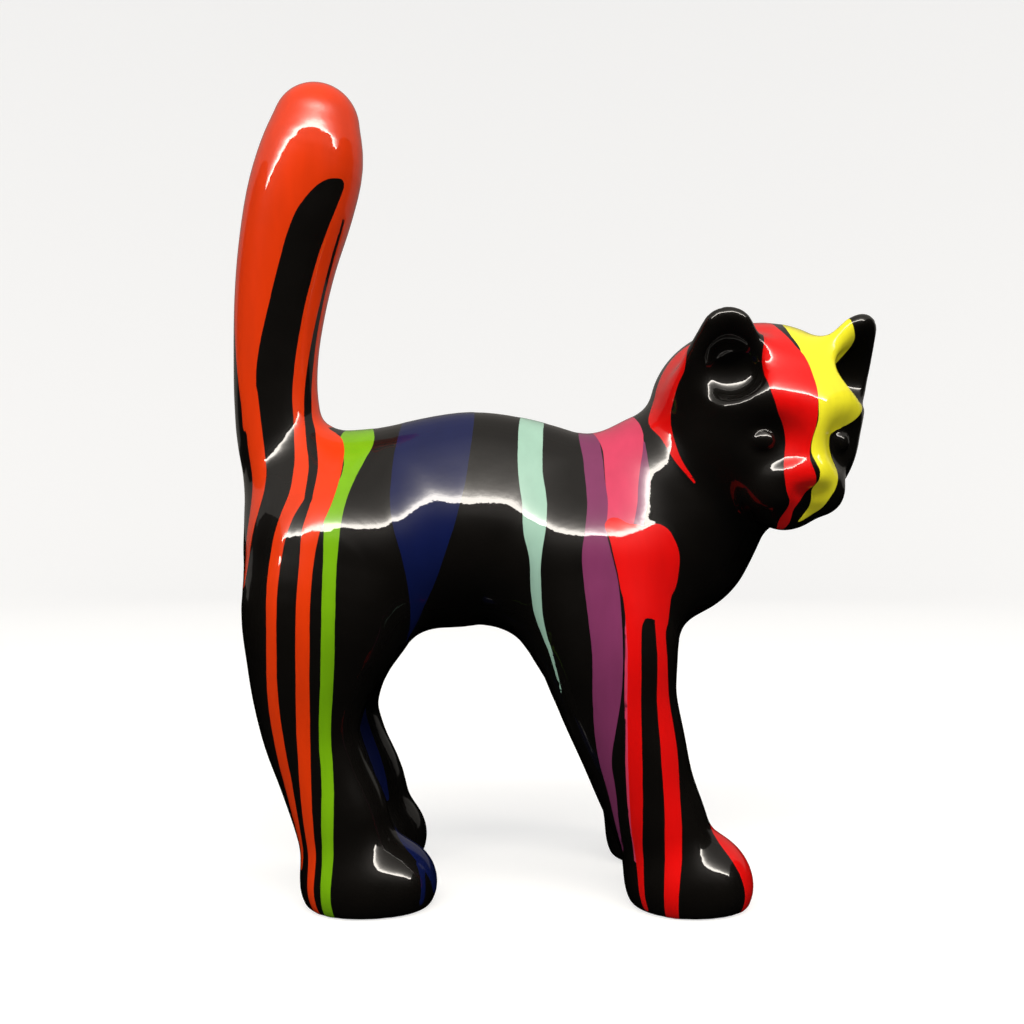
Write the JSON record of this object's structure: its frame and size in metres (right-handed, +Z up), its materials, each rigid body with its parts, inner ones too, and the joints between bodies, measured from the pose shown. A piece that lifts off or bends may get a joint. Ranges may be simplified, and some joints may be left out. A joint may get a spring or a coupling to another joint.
{
  "type": "resin cat sculpture",
  "caption": "Standing cat ornament cast in glossy black resin, tail raised and head turned aside, with coloured paint drips down its flanks, legs, tail and face.",
  "frame": {"origin": "on the floor under the middle of the ornament's box, in the plane of its four soles", "axes": "+X the way the cat walks, +Y its left side, +Z up"},
  "size_m": [0.2593, 0.1124, 0.3297],
  "materials": {
    "lacquered_resin": "black resin with poured colour drips under clear high-gloss lacquer"
  },
  "bodies": {
    "root": {"cat_figure": "lacquered_resin"}
  },
  "joints": []
}
